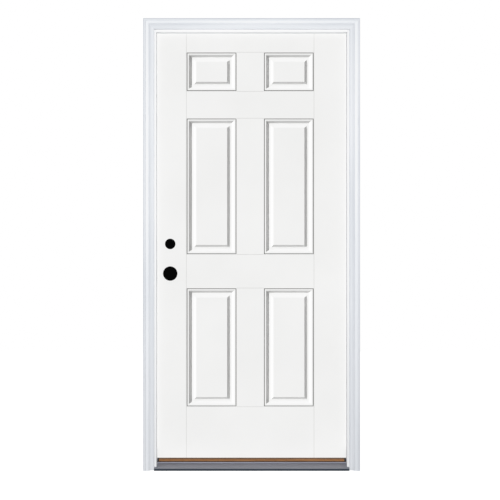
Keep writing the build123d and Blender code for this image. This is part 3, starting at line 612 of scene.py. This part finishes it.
def surroundings():
    """White surroundings: bright to the eye and in reflections, softer as light, softest from below."""
    world = bpy.data.worlds.new("studio")
    world.use_nodes = True
    # Met only by rays that leave a surface, so that the gain in mirrored rays is alike in each run
    world.cycles.sampling_method = "NONE"
    studio = Nodes(world.node_tree)
    direction = studio.node("ShaderNodeTexCoord", {}, {}, "Generated")
    upward = studio.node("ShaderNodeSeparateXYZ", {}, {0: direction}, "Z")
    ambient = studio.spread(upward, -HORIZON_FADE, HORIZON_FADE, GROUND_AMBIENT, AMBIENT)
    mirrored = studio.node("ShaderNodeLightPath", {}, {}, "Is Glossy Ray")
    seen = studio.node("ShaderNodeLightPath", {}, {}, "Is Camera Ray")
    strength = ambient * studio.spread(mirrored, 0.0, 1.0, 1.0, MIRRORED_GAIN)
    background = studio.tree.nodes["Background"]
    background.inputs["Color"].default_value = (1.0, 1.0, 1.0, 1.0)
    studio.plug(studio.spread(seen, 0.0, 1.0, strength, WHITE_LEVEL), background.inputs["Strength"])
    scene.world = world


def group(name, members):
    """A set of objects that a light falls on or is blocked by."""
    made = bpy.data.collections.new(name)
    for member in members:
        made.objects.link(member)
    return made


def add_light(name, kind, power, lit, blockers=None):
    """A light that falls on the lit group, and that only the blockers shade."""
    light = bpy.data.lights.new(name, kind)
    light.energy = power
    # Sampled from the lit surface alone, so that each run gives the same tone
    light.cycles.use_multiple_importance_sampling = False
    light.use_shadow = blockers is not None
    holder = bpy.data.objects.new(name, light)
    scene.collection.objects.link(holder)
    holder.light_linking.receiver_collection = lit
    holder.light_linking.blocker_collection = blockers
    return holder


def even_light(name, towards, power, lit, blockers=None):
    """A far, soft studio light that falls along one direction."""
    holder = add_light(name, "SUN", power, lit, blockers)
    holder.data.angle = math.radians(LIGHT_SPREAD)
    holder.rotation_euler = Vector(towards).to_track_quat("-Z", "Y").to_euler()


def lamp(name, place, power, lit):
    """A round studio lamp that fades with distance."""
    holder = add_light(name, "POINT", power, lit)
    holder.data.shadow_soft_size = LAMP_RADIUS
    holder.location = place


def camera():
    """A level camera in front of the door, as wide as the picture at the brickmould's face."""
    lens = bpy.data.cameras.new("camera")
    lens.sensor_width = SENSOR_WIDTH
    lens.lens = SENSOR_WIDTH * CAMERA_DISTANCE / FRAME_WIDTH
    eye = bpy.data.objects.new("camera", lens)
    scene.collection.objects.link(eye)
    eye.location = (CAMERA_X, FACE_Y - CAMERA_DISTANCE, CAMERA_Z)
    eye.rotation_euler = (math.radians(90), 0, 0)
    scene.camera = eye


def photo_response():
    """Let the brightest tones level off below white, as they do in a photograph."""
    view = scene.view_settings
    view.view_transform = "Standard"
    view.use_curve_mapping = True
    mapping = view.curve_mapping
    mapping.white_level = (WHITE_LEVEL,) * 3
    *_, curve = mapping.curves
    for light, tone in SHOULDER:
        curve.points.new(light / WHITE_LEVEL, tone)
    for point in list(curve.points)[:2]:
        point.handle_type = "VECTOR"
    mapping.update()


ground = group("ground", [floor()])
surroundings()
skins = [nodes["exterior_skin"], nodes["interior_skin"]]
plugs = [nodes["lock_bore_plug"], nodes["deadbolt_bore_plug"]]
reveal_pieces = [nodes[name] for name in SEALS + ("head_jamb",)]
apart = skins + plugs + reveal_pieces + [nodes["sill_deck"]]
door_shade = group("door_shade", skins)
every_piece = group("every_piece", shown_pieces())

# Each piece is in one lit group alone, and each group has lights of its own
door_faces = group("door_faces", skins + plugs)
reveal = group("reveal", reveal_pieces)
deck = group("deck", [nodes["sill_deck"]])
edges = group("edges", [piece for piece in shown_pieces() if piece not in apart])
even_light("door_key", (0.74, 0.58, -0.29), 3.85, door_faces, door_shade)
even_light("door_fill", (0, 1, 0), 0.34, door_faces)
even_light("door_back", (-0.66, -0.58, -0.48), 3.3, door_faces, door_shade)
for lit in (edges, reveal, deck):
    lamp(f"{lit.name}_key", (0, -4.2, 1.62), 552, lit)
    even_light(f"{lit.name}_fill", (0, 0.5, 0.85), 0.42, lit)
    even_light(f"{lit.name}_hinge_side", (-0.8, -0.56, -0.22), 1.7, lit, every_piece)
    even_light(f"{lit.name}_strike_side", (0.8, -0.56, -0.22), 1.4, lit, every_piece)
for lit in (edges, reveal):
    even_light(f"{lit.name}_back", (-0.25, -0.85, -0.46), 0.5, lit)
even_light("reveal_up", (0, 0.1, 1), 0.5, reveal)
even_light("reveal_left", (-0.85, 0.5, 0), 0.3, reveal)
even_light("reveal_right", (0.85, 0.5, 0), 0.5, reveal)
# The white frame throws no light back on the edges of the door
for name in FRAME_WHITES:
    nodes[name].visible_diffuse = False
even_light("floor_light", (0, 0, -1), 5.5, ground)
camera()
photo_response()
